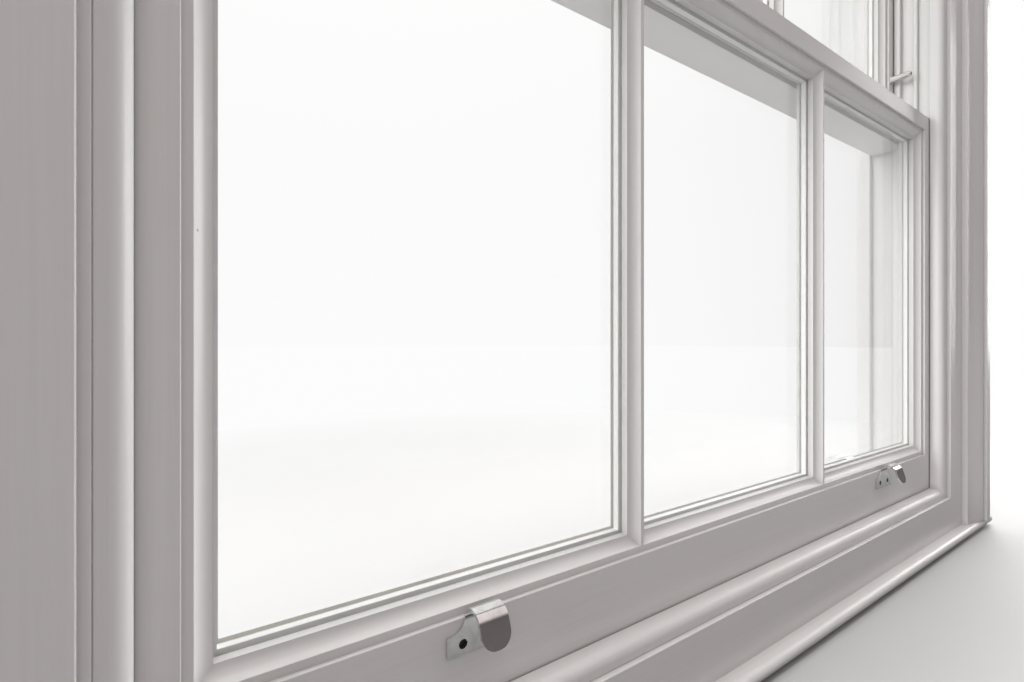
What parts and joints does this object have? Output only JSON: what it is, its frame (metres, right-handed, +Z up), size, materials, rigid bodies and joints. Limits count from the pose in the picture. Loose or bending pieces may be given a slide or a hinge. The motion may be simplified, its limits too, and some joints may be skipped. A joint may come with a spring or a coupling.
{
  "type": "double-hung sash window",
  "caption": "Double-hung timber sash window in a cased frame, each sash with upright double-glazed panes, with hook lifts, sash stops, cords, pulleys and weights.",
  "frame": {"origin": "middle of the sill's underside, midway across the window and in line with the parting beads between the two sashes", "axes": "+X to the right seen from the room, +Y outwards to the weather side, +Z up"},
  "size_m": [1.474, 0.215, 1.434],
  "materials": {
    "white_paint": "satin",
    "bare_timber": "matte",
    "glass": "polished",
    "spacer": "matte",
    "putty": "satin",
    "chrome": "polished",
    "brass": "satin",
    "steel_pin": "satin",
    "dark_screw": "satin",
    "iron": "matte",
    "cord": "matte"
  },
  "bodies": {
    "frame": {"sill": "white_paint", "window_board": "white_paint", "head": "bare_timber", "pulley_stile_left": "white_paint", "pulley_stile_right": "white_paint", "pocket_pieces": "white_paint", "inner_lining_left": "white_paint", "inner_lining_right": "white_paint", "inner_lining_top": "white_paint", "inner_lining_bottom": "white_paint", "outer_lining_left": "white_paint", "outer_lining_right": "white_paint", "outer_lining_top": "white_paint", "back_lining_left": "bare_timber", "back_lining_right": "bare_timber", "parting_slips": "bare_timber", "parting_bead_left": "white_paint", "parting_bead_right": "white_paint", "parting_bead_top": "white_paint", "staff_bead_left": "white_paint", "staff_bead_right": "white_paint", "staff_bead_top": "white_paint", "staff_bead_bottom": "white_paint", "architrave_left": "white_paint", "architrave_right": "white_paint", "architrave_top": "white_paint", "pulley_cases": "brass", "pulley_pins": "steel_pin", "cord_lower_left": "cord", "cord_lower_right": "cord", "cord_upper_left": "cord", "cord_upper_right": "cord"},
    "lower_sash": {"lower_stile_left": "white_paint", "lower_stile_right": "white_paint", "lower_meeting_rail": "white_paint", "lower_glazing_bars": "white_paint", "lower_glass": "glass", "lower_spacers": "spacer", "lower_putty": "putty", "lower_bottom_rail": "white_paint", "hook_lift_left": "chrome", "hook_lift_right": "chrome", "lift_screws": "dark_screw"},
    "upper_sash": {"upper_stile_left": "white_paint", "upper_stile_right": "white_paint", "upper_meeting_rail": "white_paint", "upper_glazing_bars": "white_paint", "upper_glass": "glass", "upper_spacers": "spacer", "upper_putty": "putty", "upper_top_rail": "white_paint", "sash_stops": "chrome"},
    "lower_weight_left": {"weight_lower_left": "iron"},
    "lower_wheel_left": {"pulley_wheel_lower_left": "brass"},
    "lower_weight_right": {"weight_lower_right": "iron"},
    "lower_wheel_right": {"pulley_wheel_lower_right": "brass"},
    "upper_weight_left": {"weight_upper_left": "iron"},
    "upper_wheel_left": {"pulley_wheel_upper_left": "brass"},
    "upper_weight_right": {"weight_upper_right": "iron"},
    "upper_wheel_right": {"pulley_wheel_upper_right": "brass"}
  },
  "joints": [
    {"name": "lower_sash_slide", "type": "slide", "parent": "frame", "child": "lower_sash", "axis": [0, 0, 1], "range_m": [0, 0.05], "deforming": ["cord_lower_left", "cord_lower_right"]},
    {"name": "upper_sash_slide", "type": "slide", "parent": "frame", "child": "upper_sash", "axis": [0, 0, -1], "range_m": [0, 0.025], "deforming": ["cord_upper_left", "cord_upper_right"]},
    {"name": "lower_weight_left_slide", "type": "slide", "parent": "frame", "child": "lower_weight_left", "axis": [0, 0, 1], "range_m": [-0.05, 0]},
    {"name": "lower_wheel_left_turn", "type": "hinge", "parent": "frame", "child": "lower_wheel_left", "pos_m": [-0.5833, -0.026, 1.176], "axis": [0, 1, 0], "range_deg": [-101.7, 0]},
    {"name": "lower_weight_right_slide", "type": "slide", "parent": "frame", "child": "lower_weight_right", "axis": [0, 0, 1], "range_m": [-0.05, 0]},
    {"name": "lower_wheel_right_turn", "type": "hinge", "parent": "frame", "child": "lower_wheel_right", "pos_m": [0.5833, -0.026, 1.176], "axis": [0, 1, 0], "range_deg": [0, 101.7]},
    {"name": "upper_weight_left_slide", "type": "slide", "parent": "frame", "child": "upper_weight_left", "axis": [0, 0, 1], "range_m": [0, 0.025]},
    {"name": "upper_wheel_left_turn", "type": "hinge", "parent": "frame", "child": "upper_wheel_left", "pos_m": [-0.5833, 0.026, 1.176], "axis": [0, 1, 0], "range_deg": [0, 51.1]},
    {"name": "upper_weight_right_slide", "type": "slide", "parent": "frame", "child": "upper_weight_right", "axis": [0, 0, 1], "range_m": [0, 0.025]},
    {"name": "upper_wheel_right_turn", "type": "hinge", "parent": "frame", "child": "upper_wheel_right", "pos_m": [0.5833, 0.026, 1.176], "axis": [0, 1, 0], "range_deg": [-51.1, 0]}
  ],
  "couplings": [
    {"joint": "lower_weight_left_slide", "follows": "lower_sash_slide", "ratio": -1},
    {"joint": "lower_wheel_left_turn", "follows": "lower_sash_slide", "rad_per_m": -35.336},
    {"joint": "lower_weight_right_slide", "follows": "lower_sash_slide", "ratio": -1},
    {"joint": "lower_wheel_right_turn", "follows": "lower_sash_slide", "rad_per_m": 35.336},
    {"joint": "upper_weight_left_slide", "follows": "upper_sash_slide", "ratio": 1},
    {"joint": "upper_wheel_left_turn", "follows": "upper_sash_slide", "rad_per_m": 35.336},
    {"joint": "upper_weight_right_slide", "follows": "upper_sash_slide", "ratio": 1},
    {"joint": "upper_wheel_right_turn", "follows": "upper_sash_slide", "rad_per_m": -35.336}
  ]
}
